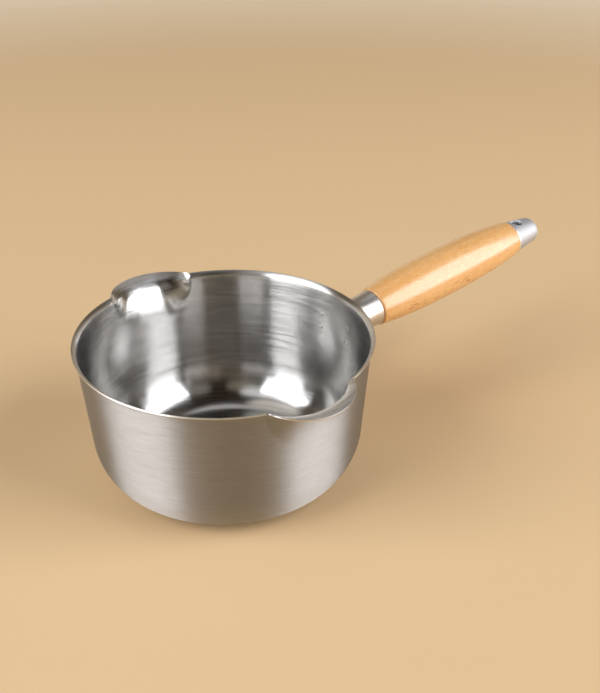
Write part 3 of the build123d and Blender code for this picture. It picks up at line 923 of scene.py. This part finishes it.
cut = turned_cap.modifiers.new("hole", "BOOLEAN")
cut.object = drill
cut.solver = "EXACT"
bpy.context.view_layer.update()
finished = turned_cap.evaluated_get(bpy.context.evaluated_depsgraph_get())
drilled = bpy.data.meshes.new_from_object(finished)
bpy.data.objects.remove(drill)
bpy.data.objects.remove(turned_cap)
print("drilled cap has", len(drilled.vertices), "points")

# %% [markdown]
# A bevel would catch on the small faces that a Boolean leaves, so the mouths of the hole are
# eased by smoothing the points beside them, as a deburring brush does. Then the faces get
# their finishes by where they lie: the wall of the hole, painted dark as painted shade, a line
# next to the wood, painted light as a painted highlight, and the rest.

# %% Ease the hole and finish the cap
# Millimetres: small faces are merged up to the first, and a face within the second of the
# hole's radius belongs to its wall
SLIVER, BORE_MARGIN = 0.06, 0.15
# Millimetres from the wood over which the cap is painted lighter, as a painted highlight
PAINTED_HIGHLIGHT_BAND = 1.3
# Degrees between two faces, from which their edge is a mouth of the hole
SHARP = 40
EASE_ROUNDS = 3
hole_centre = handle_frame @ Vector((0, 0, WOOD_LENGTH + HOLE_BACK)) * MM
hole_axis = (handle_frame.to_3x3() @ Vector((0, 1, 0))).normalized()


def from_hole(point):
    """Distance from the axis of the hole, in millimetres."""
    offset = point - hole_centre
    return (offset - hole_axis * offset.dot(hole_axis)).length / MM


cap = bmesh.new()
cap.from_mesh(drilled)
bpy.data.meshes.remove(drilled)
bmesh.ops.remove_doubles(cap, verts=cap.verts, dist=SLIVER * MM)
bmesh.ops.triangulate(cap, faces=[f for f in cap.faces if len(f.verts) > 4])
mouth = {v for e in cap.edges if len(e.link_faces) == 2 and e.calc_face_angle(0) > radians(SHARP)
         and all(abs(from_hole(v.co) - HOLE_RADIUS) < MARGIN for v in e.verts) for v in e.verts}
beside = mouth | {e.other_vert(v) for v in mouth for e in v.link_edges}
for _ in range(EASE_ROUNDS):
    bmesh.ops.smooth_vert(cap, verts=list(beside), factor=0.5,
                          use_axis_x=True, use_axis_y=True, use_axis_z=True)
print(len(mouth), "points on the mouths of the hole,", len(beside), "eased")
# Painted shade: the wall of the hole is painted near black for the shadow inside it, on dull
# steel that no brush reaches
hole_painted_shade_steel = steel("steel_hole_painted_shade", "#2E2B29", 0.5, 0.0, HANDLE_AXIS,
                   FITTING_GROOVES * MM, turns=6, depth=0.004 * MM)
# Painted highlight: where the cap meets the wood, a band is painted lighter and made smoother,
# for the bright line of light along that edge
highlight_line_steel = steel("steel_painted_highlight_line", "#F0F0F2", 0.42, 0.2, HANDLE_AXIS,
                   FITTING_GROOVES * MM, turns=6, depth=0.002 * MM)
to_handle = handle_frame.inverted()
# Faces on the wall of the hole get the painted shade, and faces next to the wood the painted
# highlight
for face in cap.faces:
    middle = face.calc_center_median()
    if from_hole(middle) < HOLE_RADIUS + BORE_MARGIN:
        face.material_index = 1
    elif (to_handle @ (middle / MM)).z < WOOD_LENGTH + PAINTED_HIGHLIGHT_BAND:
        face.material_index = 2
cap_piece = add_piece("drilled_cap", cap, cap_steel, hole_painted_shade_steel, highlight_line_steel)
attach(cap_piece, "root")
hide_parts("end_cap")

# %% [markdown]
# ## Hidden fixings
#
# The bracket, the nut, the tie rod and its two washers sit inside the ferrule and the wood.
# Their solids are already right, so they only get a finish: bright zinc plate on the screwed
# parts, and plain sheet on the bracket.

# %% Fixings
zinc, tree, shader = new_material("steel_zinc_plated")
where = add(tree, "TexCoord").outputs["Object"]
# The spangle of a zinc plate is finer than this. It is drawn 1.5 mm wide so that it shows
SPANGLE = 1.5
spangle = add(tree, "TexNoise", {"Scale": 1 / (SPANGLE * MM), "Detail": 2.0}, {"Vector": where})
rough = add(tree, "MapRange", {3: 0.25, 4: 0.45}, {0: spangle.outputs["Fac"]})
tree.links.new(rough.outputs["Result"], shader.inputs["Roughness"])
shader.inputs["Base Color"].default_value = linear("#C4C6CB")
shader.inputs["Metallic"].default_value = 1.0

# Rolled sheet, left as it came from the mill, with an even dull grey
bracket_steel = steel("steel_plain_bracket", "#C2BEB8", 0.36, 0.4, PAN_AXIS,
                      BRACKET_GROOVES * MM, turns=9, depth=0.005 * MM)


def finish_node(name, material):
    """Gives a solid of the frame its finish."""
    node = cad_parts[name]
    if not node.data.materials:
        node.data.materials.append(material)
    for place in node.material_slots:
        place.material = material


for name in ("bracket_nut", "tie_rod", "flat_washer", "spring_washer"):
    finish_node(name, zinc)
finish_node("handle_bracket", bracket_steel)
print("fixings finished")
